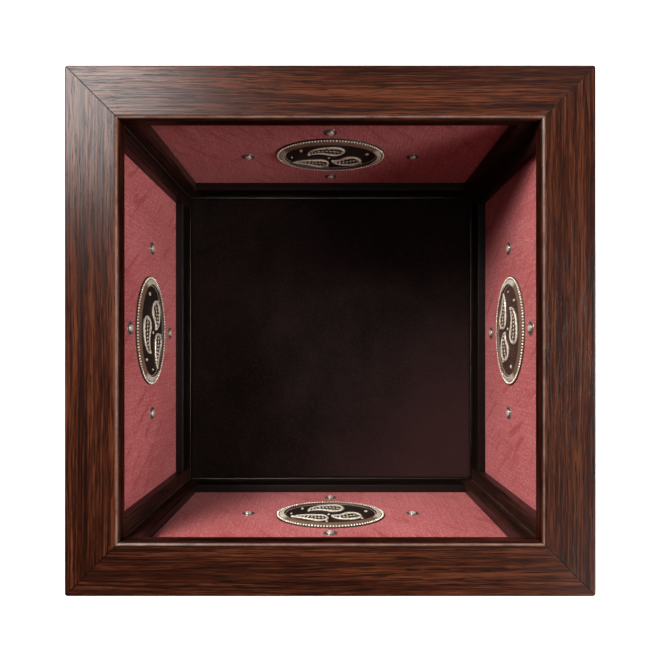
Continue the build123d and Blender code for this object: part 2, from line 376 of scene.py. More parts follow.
def makeSilkWeave():
    # Cloth is the piece's own UV map, in metres: X along the wall, Y up
    look = weaveLook
    given, result = newGroup(
        "silkWeave", {"Cloth": "Vector"},
        dict.fromkeys(("Thread", "Slub", "Crease", "Fold", "Height"), "Float"))
    cloth = given["Cloth"]
    parts = put("ShaderNodeSeparateXYZ", {0: cloth}).outputs
    drift = times(noiseOf(cloth, look["driftFactors"]), look["drift"])
    warp, weft = (
        calc("SINE", plus(times(part, look["threads"] * look[key]), drift))
        for part, key in ((parts[0], "warp"), (parts[1], "weft")))
    thread = plus(times(times(warp, weft), 0.5), 0.5)
    long, short, speckle = (noiseOf(cloth, *look[key]) for key in ("long", "short", "speckle"))
    slub = weighted(
        (long, look["longShare"]), (short, look["shortShare"]), (speckle, look["speckleShare"]))
    slub = ranged(slub, *look["slubRange"])
    creased, folded = (
        put("ShaderNodeMapping", {"Vector": cloth, "Rotation": (0, 0, look[key])}).outputs[0]
        for key in ("creaseLean", "foldLean"))
    field = noiseOf(creased, *look["crease"])
    line = calc("ABSOLUTE", minus(field, look["creaseLevel"]))
    line = minus(1.0, ranged(line, 0.0, look["creaseWidth"], smooth=True))
    crease = times(line, spots(cloth, look, "broken"))
    height = weighted(
        (thread, look["threadHeight"]), (slub, look["slubHeight"]), (crease, look["creaseHeight"]))
    return closed(result, {
        "Thread": thread, "Slub": slub, "Crease": crease, "Fold": spots(folded, look, "fold"),
        "Height": height})


napLook = dict(cloudRange=(0.34, 0.66), fibreRange=(0.3, 0.7), cloudShare=0.3, fibreShare=0.7)


def makeNap():
    # cloudy brushed pile: broad patches lie one way or the other, fibres break them up
    given, result = newGroup(
        "brushedNap", {"Place": "Vector", "Cloud": "Float", "Fibre": "Float"},
        dict.fromkeys(("Cloud", "Fibre", "Height"), "Float"))
    cloud = noiseOf(given["Place"], given["Cloud"], 5.0, 0.62, 0.5)
    cloud = ranged(cloud, *napLook["cloudRange"])
    fibre = noiseOf(given["Place"], given["Fibre"], 2.0, 0.6)
    fibre = ranged(fibre, *napLook["fibreRange"])
    return closed(result, {
        "Cloud": cloud, "Fibre": fibre,
        "Height": weighted((cloud, napLook["cloudShare"]), (fibre, napLook["fibreShare"]))})


streakyGrain = makeStreakyGrain()
edgeWear = makeEdgeWear()
seamLine = makeSeamLine()
silkWeave = makeSilkWeave()
brushedNap = makeNap()
print("shared effects ready")


# Wood

rimFinish = dict(
    pale=rgb(79, 42, 26), middle=rgb(46, 18, 8), deep=rgb(20, 7, 4),
    contrast=0.92, streakWidth=1.45,
    worn=rgb(82, 48, 33), wearRadius=0.7 * mm, wearStrength=0.55,
    seam=rgb(10, 5, 4), seamWidth=0.55 * mm, seamStrength=1.0,
    roughness=-0.10,  # added to the grain's own
    coat=0.0, gloss=0.125,
    arrisHighlight=0.6, edge=rgb(137, 110, 100),  # the painted highlight along the rim's arrises
    arrisHighlightTop=(0.08 * mm, 0.25 * mm), arrisHighlightEnd=(0.4 * mm, 0.85 * mm),
    patches=(120, 3.0), patchRange=(0.35, 0.65, 0.5, 1.0),
    # and the painted shade, darker on the boards below it
    sideShade=0.55, sideTint=(0.25, 0.14, 0.12, 1.0), sideStart=(0.8 * mm, 1.6 * mm),
)
wallFinish = dict(
    rimFinish, pale=rgb(68, 33, 19), middle=rgb(41, 16, 8), contrast=0.9,
    arrisHighlight=0.0, wearRadius=0.5 * mm, seamWidth=0.0)
frameFinish = dict(
    pale=rgb(25, 13, 8), middle=rgb(12, 6, 4), deep=rgb(4, 3, 2),
    contrast=0.9, streakWidth=1.6,
    worn=rgb(65, 46, 38), wearRadius=0.35 * mm, wearStrength=0.5,
    seamWidth=0.0, arrisHighlight=0.0,
    roughness=-0.02, coat=0.05, gloss=0.185,
)
# the stiles are paler, and a pale hairline is painted up their corner joints
stileFinish = dict(
    frameFinish, pale=rgb(64, 37, 29), middle=rgb(38, 20, 15), deep=rgb(10, 5, 4),
    seamWidth=0.45 * mm, seam=rgb(85, 74, 66), seamStrength=0.6)
baseFinish = dict(
    pale=rgb(176, 132, 88), middle=rgb(150, 104, 64), deep=rgb(104, 66, 38),
    contrast=0.8, streakWidth=0.8,
    worn=rgb(190, 150, 108), wearRadius=0.4 * mm, wearStrength=0.4,
    seamWidth=0.0, arrisHighlight=0.0,
    roughness=0.2, coat=0.0, gloss=0.3,
)
splineFinish = dict(baseFinish, streakWidth=1.4, roughness=0.12)
grainTurns = {"x": (0, 0, 0), "y": (0, 0, math.pi / 2), "z": (0, math.pi / 2, 0)}
woodBump = (0.32, 0.14 * mm)
coatRoughness = 0.3


def paintedArrisLight(place, colour, finish):
    # painted highlight just below the upper face, and painted shade below that
    depth = minus(rimTop, put("ShaderNodeSeparateXYZ", {0: place}).outputs[2])
    line = times(ranged(depth, *finish["arrisHighlightTop"]), ranged(depth, *finish["arrisHighlightEnd"], 1.0, 0.0))
    patches = ranged(noiseOf(place, *finish["patches"]), *finish["patchRange"])
    line = times(times(line, patches), finish["arrisHighlight"])
    below = ranged(depth, *finish["sideStart"], 0.0, finish["sideShade"])
    colour = mixed(below, colour, finish["sideTint"], "MULTIPLY")
    return mixed(line, colour, finish["edge"])


def woodMaterial(name, finish, grain, number):
    # each number cuts its wood from another part of the tree
    material, shader, place = newMaterial(name)
    cut = put("ShaderNodeMapping", {
        "Vector": place, "Rotation": grainTurns[grain],
        "Location": (0.61 * number, 0.37 * number + 0.05, 0.83 * number)}).outputs[0]
    figure = grouped(streakyGrain, {
        "Place": cut, "Pale": finish["pale"], "Middle": finish["middle"], "Deep": finish["deep"],
        "Contrast": finish["contrast"], "Streak Width": finish["streakWidth"]})
    wear = grouped(edgeWear, {
        "Place": place, "Radius": finish["wearRadius"], "Strength": finish["wearStrength"]})
    colour = mixed(wear["Mask"], figure["Color"], finish["worn"])
    if finish["seamWidth"]:
        seam = grouped(seamLine, {"Place": place, "Width": finish["seamWidth"]})["Mask"]
        colour = mixed(times(seam, finish["seamStrength"]), colour, finish["seam"])
    # the rim's arrises get a painted highlight, and the boards below them a painted shade
    if finish["arrisHighlight"]:
        colour = paintedArrisLight(place, colour, finish)
    feed(shader, {
        "Base Color": colour,
        "Roughness": plus(figure["Roughness"], finish["roughness"], clamp=True),
        "Coat Weight": finish["coat"], "Coat Roughness": coatRoughness,
        "Specular IOR Level": finish["gloss"],
        "Normal": bumped(woodBump, figure["Height"], Normal=wear["Normal"])})
    return material


def dress(name, material):
    for slot in nodes[name].material_slots:
        slot.material = material


for number, side in enumerate(sideNames, 1):
    along = "x" if side in ("front", "back") else "y"
    dress("rim_" + side, woodMaterial("rimWood_" + side, rimFinish, along, number))
    dress("wall_" + side, woodMaterial("wallWood_" + side, wallFinish, along, number + 4))
    dress("bottom_rail_" + side, woodMaterial("railWood_" + side, frameFinish, along, number + 8))
    stileWood = woodMaterial("stileWood_" + side, stileFinish, "z", number + 12)
    for name in nodes:
        if name.startswith("stile_" + side):
            dress(name, stileWood)
dress("base_board", woodMaterial("baseWood", baseFinish, "x", 20))
splineWood = woodMaterial("splineWood", splineFinish, "x", 21)
dress("rim_splines", splineWood)
dress("wall_splines", splineWood)
print("wood dressed")


# Card and brass screws

cardLook = dict(
    colour=rgb(158, 146, 128), fleck=rgb(120, 106, 88), layer=rgb(176, 166, 150),
    cloud=60.0, fibre=900.0,
    flecks=((700, 700, 2600),), flecksRange=(0.62, 0.7),
    roughness=(0.82, 0.95), bump=(0.3, 0.1 * mm),
)


def cardMaterial(name):
    look = cardLook
    material, shader, place = newMaterial(name)
    nap = napOf(place, look)
    colour = mixed(nap["Cloud"], look["colour"], look["layer"])
    feed(shader, {
        "Base Color": mixed(spots(place, look, "flecks"), colour, look["fleck"]),
        "Roughness": ranged(nap["Fibre"], 0, 1, *look["roughness"]),
        "Normal": bumped(look["bump"], nap["Height"])})
    return material


card = cardMaterial("greyCard")
for side in sideNames:
    dress("lining_board_" + side, card)
dress("floor_board", card)

screwLook = dict(
    brass=rgb(186, 146, 78), tarnish=rgb(92, 66, 34), bright=rgb(226, 196, 132),
    blotch=(420, 5.0, 0.62), blotchRange=(0.42, 0.66),
    turned=(5200, 5200, 300), wearRadius=0.25 * mm,
    roughness=(0.26, 0.5), bump=(0.25, 0.04 * mm),
)


def brassMaterial(name):
    look = screwLook
    material, shader, place = newMaterial(name)
    wear = grouped(edgeWear, {"Place": place, "Radius": look["wearRadius"], "Strength": 1.0})
    tarnish = spots(place, look, "blotch")
    colour = mixed(tarnish, look["brass"], look["tarnish"])
    feed(shader, {
        "Base Color": mixed(wear["Mask"], colour, look["bright"]),
        "Roughness": ranged(tarnish, 0, 1, *look["roughness"]), "Metallic": 1.0,
        "Normal": bumped(look["bump"], noiseOf(place, look["turned"]), Normal=wear["Normal"])})
    return material


dress("base_screws", brassMaterial("screwBrass"))
print("card and screws dressed")


# Silk panels, stretched over their lining boards

silkLook = dict(
    rose=rgb(189, 103, 105), shade=rgb(150, 61, 62),
    # crease is the colour of a painted sheen along the creases
    light=rgb(199, 143, 140), crease=rgb(179, 154, 148),
    clouds=((16, 9, 1), 3.0), cloudRange=(0.35, 0.65), cloudShare=(0.15, 0.6),
    lightShare=0.6, shadeShare=0.7, threadShare=0.16,
    # the folds are painted shade, and the creases get a painted sheen
    foldShadeShare=0.7, creaseSheenShare=0.45,
    roughness=(0.56, 0.42), gloss=0.3,
    sheen=0.15, sheenRoughness=0.4, sheenTint=(1.0, 0.72, 0.70, 1.0),
    bump=(0.5, 0.12 * mm),
    cell=1.5 * mm,  # grid of the cloth
    thickness=0.3 * mm,
    sideGap=0.5 * mm, topGap=0.1 * mm,  # in all, inside the panel's box
    bulge=0.10 * mm,  # slack between the frame's edges
    nailReach=9 * mm, nailDimple=0.096 * mm,
    folds=7, foldHeight=0.09 * mm,  # tension folds running out from a nail
    oval=(37.5 * mm, 27 * mm), ovalReach=0.12, ovalDimple=0.08 * mm,
)


def silkMaterial(name, number):
    look = silkLook
    material, shader = newMaterial(name)[:2]
    cloth = put("ShaderNodeUVMap", tree=shader.id_data, uv_map="cloth").outputs[0]
    cut = put("ShaderNodeMapping", {
        "Vector": cloth, "Location": (0.7 * number, 0.4 * number, 0)}).outputs[0]
    weave = grouped(silkWeave, {"Cloth": cut})
    clouds = ranged(noiseOf(cut, *look["clouds"]), *look["cloudRange"])
    colour = mixed(ranged(clouds, 0, 1, *look["cloudShare"]), look["rose"], look["shade"])
    slub = weave["Slub"]
    # painted shade along the folds and a painted sheen along the creases, over the silk's own tone
    for amount, tint in (
            (ranged(slub, 0.5, 1.0, 0.0, look["lightShare"]), "light"),
            (ranged(slub, 0.5, 0.0, 0.0, look["shadeShare"]), "shade"),
            (ranged(weave["Thread"], 0, 1, 0.0, look["threadShare"]), "shade"),
            (times(weave["Fold"], look["foldShadeShare"]), "shade"),
            (times(weave["Crease"], look["creaseSheenShare"]), "crease")):
        colour = mixed(amount, colour, look[tint])
    feed(shader, {
        "Base Color": colour, "Roughness": ranged(slub, 0, 1, *look["roughness"]),
        **sheenOf(look), "Normal": bumped(look["bump"], weave["Height"])})
    return material


def silkLift(u, v, width, height, nails, medallion, number):
    # how far the cloth stands off its board
    look = silkLook
    slack = math.cos(math.pi * u / width) * math.cos(math.pi * v / height)
    uneven = 0.6 + 0.8 * noise.noise(Vector((u * 30 + number * 9, v * 18, 3.1)))
    lift = look["bulge"] * slack * uneven
    for x, y in nails:
        reach = math.hypot(u - x, v - y) / look["nailReach"]
        lift -= look["nailDimple"] * math.exp(-reach * reach)
        turn = math.atan2(v - y, u - x)
        fold = 0.5 + 0.5 * math.cos(turn * look["folds"] + number + x * 90)
        lift += look["foldHeight"] * fold * math.exp(-((reach - 0.9) / 0.9) ** 2)
    wide, tall = look["oval"]
    oval = math.hypot((u - medallion.x) / wide, (v - medallion.y) / tall)
    return lift - look["ovalDimple"] * math.exp(-((oval - 1.0) / look["ovalReach"]) ** 2)


def makeSilk(side, number):
    look = silkLook
    name = "silk_panel_" + side
    toWorld = wallPlace(side, name)
    flattened = toWorld.inverted()
    size = sizeOf(name)
    width, height = max(size.x, size.y) - look["sideGap"], size.z - look["topGap"]
    across, tall = round(width / look["cell"]), round(height / look["cell"])
    medallion = flattened @ middleOf("medallion_" + side)
    nailMiddle = flattened @ middleOf("dome_nails_" + side)
    nails = [(nailMiddle + Vector(point)).xy for point in nailPoints(side)]
    vertices = []
    for j in range(tall + 1):
        v = (j / tall - 0.5) * height
        for i in range(across + 1):
            u = (i / across - 0.5) * width
            off = silkLift(u, v, width, height, nails, medallion, number)
            vertices.append(toWorld @ Vector((u, v, off)))
    piece = newPiece(
        name.replace("panel", "cloth"), vertices, gridFaces(across, tall),
        silkMaterial("roseSilk_" + side, number))
    layer = piece.data.uv_layers.new(name="cloth")
    for loop in piece.data.loops:
        j, i = divmod(loop.vertex_index, across + 1)
        layer.data[loop.index].uv = ((i / across) * width, (j / tall) * height)
    thick = piece.modifiers.new("thickness", "SOLIDIFY")
    thick.thickness = look["thickness"]
    thick.offset = -1.0
    makeSolid(piece)
    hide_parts(name)
    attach(piece, "root")


for number, side in enumerate(sideNames, 1):
    makeSilk(side, number)
print("silk stretched")


# Velvet pad

padLook = dict(
    deep=rgb(7, 4, 3), nap=rgb(23, 12, 10), rub=rgb(43, 25, 25),
    cloud=20.0, fibre=750.0, napShare=(0.05, 0.75), rubShare=0.5,
    # painted light: the pad is painted paler towards one corner, where the light falls
    paintedLight=rgb(59, 35, 35), paintedLightWay=(0.7, -0.7, 0.0),
    paintedLightRange=(0.03, 0.16), paintedLightShare=0.5,
    roughness=(0.95, 0.8), gloss=0.1,
    sheen=0.12, sheenRoughness=0.35, sheenTint=(0.55, 0.30, 0.34, 1.0),
    bump=(0.6, 0.3 * mm),
    gap=0.1 * mm,  # inside the pad's box, on each side
    cell=1.6 * mm, bunch=1.12,  # closer rows near the edges, where it rounds over
    round=3.6 * mm, roundPower=2.6,  # how far in the edge starts to fall, and how squarely
    crown=0.2 * mm,
    ripple=0.21 * mm, calm=9 * mm,  # the ripples die out this near the edge
    pull=0.004, pullBand=0.97,  # it pulls in a little between its corners
    lowest=0.15 * mm, over=0.2 * mm,
)


def velvetMaterial():
    look = padLook
    material, shader, place = newMaterial("darkVelvet")
    nap = napOf(place, look)
    colour = mixed(ranged(nap["Cloud"], 0, 1, *look["napShare"]), look["deep"], look["nap"])
    rubbed = ranged(nap["Fibre"], 0.45, 1.0, 0.0, look["rubShare"])
    colour = mixed(rubbed, colour, look["rub"])
    # painted light, paler towards one corner of the pad
    corner = vectors("DOT_PRODUCT", place, look["paintedLightWay"])["Value"]
    corner = ranged(corner, *look["paintedLightRange"], 0.0, look["paintedLightShare"], smooth=True)
    feed(shader, {
        "Base Color": mixed(corner, colour, look["paintedLight"]),
        "Roughness": ranged(nap["Cloud"], 0, 1, *look["roughness"]),
        **sheenOf(look), "Normal": bumped(look["bump"], nap["Height"])})
    return material


def padLift(x, y, half, thick):
    look = padLook
    fall = math.hypot(*(max(0, abs(v) - half + look["round"]) for v in (x, y)))
    fall = min(1.0, fall / look["round"])
    lift = thick * math.sqrt(max(0.0, 1 - fall ** look["roundPower"]))
    if fall < 1:
        middle = math.cos(math.pi * x / (2 * half)) * math.cos(math.pi * y / (2 * half))
        lift -= look["crown"] * (1 - middle)
    inside = min(1.0, min(half - abs(x), half - abs(y)) / look["calm"])
    ripple = noise.noise(Vector((x * 22, y * 22, 1.7)))
    ripple += 0.5 * noise.noise(Vector((x * 60, y * 60, 5.2)))
    lift += look["ripple"] * ripple * inside
    return max(look["lowest"], min(lift, thick + look["over"]))


def makePad():
    look = padLook
    low, high = boxOf("velvet_pad")
    half, thick = (high.x - low.x) / 2 - look["gap"], high.z - low.z
    count = round(2 * half / look["cell"])
    steps = [math.copysign(half * (1 - (1 - abs(t)) ** look["bunch"]), t)
             for t in np.linspace(-1, 1, count + 1)]
    vertices = []
    for y in steps:
        for x in steps:
            inward = sum(
                math.cos(math.pi * v / (2 * half)) * (abs(other) > half * look["pullBand"])
                for v, other in ((x, y), (y, x)))
            pull = 1 - look["pull"] * inward
            vertices.append(Vector((x * pull, y * pull, low.z + padLift(x, y, half, thick))))
    faces = gridFaces(count, count)
    # skirt and flat underside
    row = count + 1
    ring = list(range(row)) + [j * row + count for j in range(1, row)]
    ring += [count * row + i for i in range(count - 1, -1, -1)]
    ring += [j * row for j in range(count - 1, 0, -1)]
    base, size = len(vertices), len(ring)
    vertices += [Vector((vertices[k].x, vertices[k].y, low.z)) for k in ring]
    for k in range(size):
        after = (k + 1) % size
        faces.append((ring[after], ring[k], base + k, base + after))
    faces.append(tuple(base + k for k in range(size - 1, -1, -1)))
    piece = newPiece("velvet_cushion", vertices, faces, velvetMaterial())
    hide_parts("velvet_pad")
    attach(piece, "root")


makePad()
print("velvet pad laid")


# Felt under the base

feltLook = dict(
    charcoal=rgb(44, 40, 38), pale=rgb(84, 78, 72), shade=rgb(30, 27, 26),
    cloud=34.0, fibre=950.0,
    hairs=((900, 2400, 900), 3.0, 0.6, 2.5), hairsRange=(0.52, 0.66),
    fibreShare=0.5, hairShare=0.5, shadeShare=0.3,
    roughness=(0.98, 0.86), sheen=0.3, bump=(0.7, 0.3 * mm),
    corner=2.0 * mm, cornerSteps=6, step=2.5 * mm, ragged=0.12 * mm,
    # how far in from the edge, and at what share of the thickness
    levels=[(0.25 * mm, 0.0), (0.0, 0.2), (0.0, 0.8), (0.25 * mm, 1.0)],
)


def feltMaterial():
    look = feltLook
    material, shader, place = newMaterial("charcoalFelt")
    nap = napOf(place, look)
    fibres = ranged(nap["Fibre"], 0, 1, 0.0, look["fibreShare"])
    colour = mixed(fibres, look["charcoal"], look["pale"])
    colour = mixed(times(spots(place, look, "hairs"), look["hairShare"]), colour, look["pale"])
    shade = ranged(nap["Cloud"], 0, 1, 0.0, look["shadeShare"])
    feed(shader, {
        "Base Color": mixed(shade, colour, look["shade"]),
        "Roughness": ranged(nap["Fibre"], 0, 1, *look["roughness"]),
        "Sheen Weight": look["sheen"], "Normal": bumped(look["bump"], nap["Height"])})
    return material


def makeFelt():
    look = feltLook
    low, high = boxOf("base_felt")
    half, corner = high.x, look["corner"]
    straight = round(2 * (half - corner) / look["step"])
    random.seed(11)
    edge = []
    for quarter in range(4):
        turn = Matrix.Rotation(math.pi / 2 * quarter, 2)
        for k in range(straight):
            out = half - random.random() * look["ragged"]
            edge.append(turn @ Vector((out, (2 * k / straight - 1) * (half - corner))))
        for k in range(look["cornerSteps"]):
            a = math.pi / 2 * k / look["cornerSteps"]
            x, y = half - corner + corner * math.cos(a), half - corner + corner * math.sin(a)
            edge.append(turn @ Vector((x, y)))
    count = len(edge)
    vertices = []
    for inset, rise in look["levels"]:
        for p in edge:
            shrunk = p * (1 - inset / half)
            vertices.append(Vector((shrunk.x, shrunk.y, low.z + (high.z - low.z) * rise)))
    faces = ringFaces(3, count)
    faces.append(tuple(range(count - 1, -1, -1)))
    faces.append(tuple(3 * count + k for k in range(count)))
    piece = newPiece("felt_sheet", vertices, faces, feltMaterial(), smooth=False)
    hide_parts("base_felt")
    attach(piece, "root")


makeFelt()
print("felt laid")


# Oval medallions

medallionLook = dict(
    around=384, fieldRings=74,
    # the border in mm: distance in from the edge, height off the silk, rubbed brightness
    section=[
        (0.6, -1.2, 0.1), (0.0, -0.1, 0.1), (0.0, 0.55, 0.2), (0.22, 0.9, 0.25), (0.5, 1.0, 0.15),
        (1.4, 1.0, 0.08), (1.95, 1.0, 0.08), (2.1, 1.22, 0.5), (2.6, 1.45, 0.95), (3.4, 1.78, 1.0),
        (4.3, 2.06, 1.0), (4.9, 2.2, 1.0), (5.15, 2.2, 1.0), (5.35, 2.1, 0.6), (5.6, 1.85, 0.1),
        (5.85, 1.35, 0.05), (6.0, 1.08, 0.3), (6.3, 1.14, 0.75), (6.6, 1.06, 0.2), (6.8, 1.0, 0.05)],
    behind=-1.2, fieldLevel=1.0, fieldDish=0.25,
    # the border's sides are bronze, and its two ends stay pale silver, a painted highlight
    border=(2.0, 5.9), highlightEnd=0.86, highlightFade=0.08,
    beads=100, beadRadius=0.74, beadInset=1.0, beadLevel=0.98, beadShine=0.85,
    # a scroll's head (x, y), heading and curl in degrees, length, half width of the head
    scrolls=[
        (2.5, 10.0, 168, 85, 21.0, 8.2), (14.0, -6.8, 205, -75, 14.0, 8.4),
        (-7.6, -10.8, 164, 25, 19.0, 7.2)],
    scrollSteps=90, tail=0.7, scrollHeight=1.35,
    ribs=1.75,  # from a scroll's middle line to its side
    grain=2.6,  # pitch of the punched grains
    ribAt=0.80, ribWidth=0.14, punchedTo=0.68,  # of a scroll's half width
    plainBelow=1.8,  # a thin tail has no ribs
    # studs between the scrolls: place, half width, half height
    dots=[(-20.0, 10.2, 1.1, 2.4), (25.0, 4.4, 1.5, 1.9), (-2.4, -16.6, 0.9, 2.3),
             (-27.0, -1.0, 0.9, 1.4), (21.5, -11.0, 1.1, 1.1), (-1.2, -2.2, 1.1, 1.1)],
    dotHeight=0.8,
    silver=rgb(255, 251, 240), gold=rgb(248, 232, 198), bronze=rgb(136, 108, 88),
    field=(rgb(19, 9, 6), rgb(39, 22, 15)),
    paintedLitField=(rgb(49, 29, 23), rgb(88, 62, 54)),  # the right wall's, painted paler where the light falls on it
    blotch=(420, 4.0, 0.6), blotchRange=(0.38, 0.62), blotchShare=0.35,
    rubbedRange=(0.22, 0.82),
    pits=(850, 3.0, 0.7), pitsRange=(0.40, 0.53, 0.45, 1.0),
    ground=(900, 3.0), groundRange=(0.4, 0.65),
    roughness=(0.55, 0.2), metallic=(0.05, 0.4),
    pitted=(1500, 3.0, 0.6), bump=(0.8, 0.25 * mm),
)


def scrollLine(scroll, sign):
    # one comma scroll: a fat head whose tail thins out and curls; points and half widths
    look = medallionLook
    x, y, heading, curl, length, head = scroll
    count, tail = look["scrollSteps"], look["tail"]
    line = []
    for k in range(count + 1):
        t = k / count
        line.append((x * sign, y * sign, (head - tail) * (1 - t) ** 0.9 + tail))
        angle = math.radians(heading + curl * t ** 1.6)
        x += length / count * math.cos(angle)
        y += length / count * math.sin(angle)
    return np.array(line)


def oneScroll(x, y, line):
    # each point is measured from the nearest place on the scroll's middle line
    look = medallionLook
    pick = np.arange(len(x))
    steps = np.hypot(np.diff(line[:, 0]), np.diff(line[:, 1]))
    lengths = np.concatenate([[0], np.cumsum(steps)])
    dx, dy = x[:, None] - line[None, :, 0], y[:, None] - line[None, :, 1]
    apart = np.hypot(dx, dy)
    near = (apart / line[None, :, 2]).argmin(axis=1)
    ahead, back = np.clip(near + 1, 0, len(line) - 1), np.clip(near - 1, 0, len(line) - 1)
    tangent = line[ahead, :2] - line[back, :2]
    tangent /= np.linalg.norm(tangent, axis=1)[:, None] + 1e-9
    dx, dy = dx[pick, near], dy[pick, near]
    offset = dy * tangent[:, 0] - dx * tangent[:, 1]
    run = lengths[near] + dx * tangent[:, 0] + dy * tangent[:, 1]
    half = line[near, 2]
    out = apart[pick, near] / half
    inside = np.clip(1 - out ** 2, 0, 1)
    body = np.minimum(1.0, 1.6 * np.sqrt(inside))
    # a plain rib wraps round the outside, and punched ribs fill the middle
    turn = 2 * math.pi
    ribs = 0.5 + 0.5 * np.cos(turn * look["ribs"] * offset / half)
    grains = np.cos(turn * run / look["grain"]) * np.cos(turn * offset / look["grain"])
    grains = 0.5 + 0.5 * grains
    rib = np.exp(-((out - look["ribAt"]) / look["ribWidth"]) ** 2)
    middle = ribs ** 1.4 * (0.05 + 0.95 * grains) * (out < look["punchedTo"])
    pattern = np.where(half < look["plainBelow"], np.sqrt(inside), np.maximum(rib, middle))
    rise = look["scrollHeight"] * body * (0.38 + 0.62 * pattern) * (inside > 0)
    return rise, (inside > 0) * np.clip(body * (0.04 + pattern), 0, 1)


def scrollRelief(x, y, sign):
    # height in mm above the field, and how bright the metal is rubbed there
    look = medallionLook
    height, bright = np.zeros_like(x), np.zeros_like(x)
    for scroll in look["scrolls"]:
        rise, shine = oneScroll(x, y, scrollLine(scroll, sign))
        taller = rise > height
        height, bright = np.where(taller, rise, height), np.where(taller, shine, bright)
    for dotX, dotY, dotWide, dotTall in look["dots"]:
        reach = np.hypot((x - dotX * sign) / dotWide, (y - dotY * sign) / dotTall)
        inside = np.sqrt(np.clip(1 - reach ** 2, 0, 1))
        height = np.maximum(height, look["dotHeight"] * inside)
        bright = np.maximum(bright, inside)
    return height, bright


def metalMaterial(name, field):
    look = medallionLook
    material, shader, place = newMaterial(name)
    blotch = noiseOf(place, *look["blotch"])
    metal = mixed(ranged(blotch, *look["blotchRange"]), look["silver"], look["gold"])
    metal = mixed(painted(shader, "border"), metal, look["bronze"])
    uneven = times(minus(blotch, 0.5), look["blotchShare"])
    rubbed = plus(painted(shader, "raised"), uneven, clamp=True)
    rubbed = ranged(rubbed, *look["rubbedRange"], smooth=True)
    rubbed = times(rubbed, spots(place, look, "pits"))
    ground = ranged(noiseOf(place, *look["ground"]), *look["groundRange"])
    feed(shader, {
        "Base Color": mixed(rubbed, mixed(ground, *field), metal),
        "Roughness": ranged(rubbed, 0, 1, *look["roughness"]),
        "Metallic": ranged(rubbed, 0, 1, *look["metallic"]),
        "Normal": bumped(look["bump"], noiseOf(place, *look["pitted"]))})
    return material


def makeBeadTree():
    # a row of small grains round an oval, joined to the casting that comes in
    given, result = newGroup("milgrainBeads", {
        "Geometry": "Geometry", "Half Width": "Float", "Half Height": "Float",
        "Level": "Float", "Beads": "Int", "Bead Radius": "Float", "Metal": "Material",
    }, {"Geometry": "Geometry"}, "GeometryNodeTree")
    circle = put(
        "GeometryNodeCurvePrimitiveCircle", {"Resolution": 256, "Radius": 1.0},
        tree=result.id_data, mode="RADIUS")
    scale = put("ShaderNodeCombineXYZ", {
        "X": given["Half Width"], "Y": given["Half Height"], "Z": 1.0})
    lift = put("ShaderNodeCombineXYZ", {"Z": given["Level"]})
    oval = put("GeometryNodeTransform", {
        "Geometry": circle.outputs[0], "Scale": scale.outputs[0], "Translation": lift.outputs[0]})
    spaced = put("GeometryNodeResampleCurve", {
        "Curve": oval.outputs[0], "Count": given["Beads"]})
    bead = put("GeometryNodeMeshUVSphere", {
        "Segments": 10, "Rings": 6, "Radius": given["Bead Radius"]})
    rows = put("GeometryNodeInstanceOnPoints", {
        "Points": spaced.outputs[0], "Instance": bead.outputs[0]})
    real = put("GeometryNodeRealizeInstances", {"Geometry": rows.outputs[0]})
    soft = put("GeometryNodeSetShadeSmooth", {"Geometry": real.outputs[0]})
    marked = put("GeometryNodeStoreNamedAttribute", {
        "Geometry": soft.outputs[0], "Name": "raised", "Value": medallionLook["beadShine"]},
        data_type="FLOAT", domain="POINT")
    joined = put("GeometryNodeJoinGeometry", {"Geometry": marked.outputs[0]})
    feed(joined, {"Geometry": given["Geometry"]})
    finished = put("GeometryNodeSetMaterial", {
        "Geometry": joined.outputs[0], "Material": given["Metal"]})
    return closed(result, {"Geometry": finished.outputs[0]})


milgrainBeads = makeBeadTree()


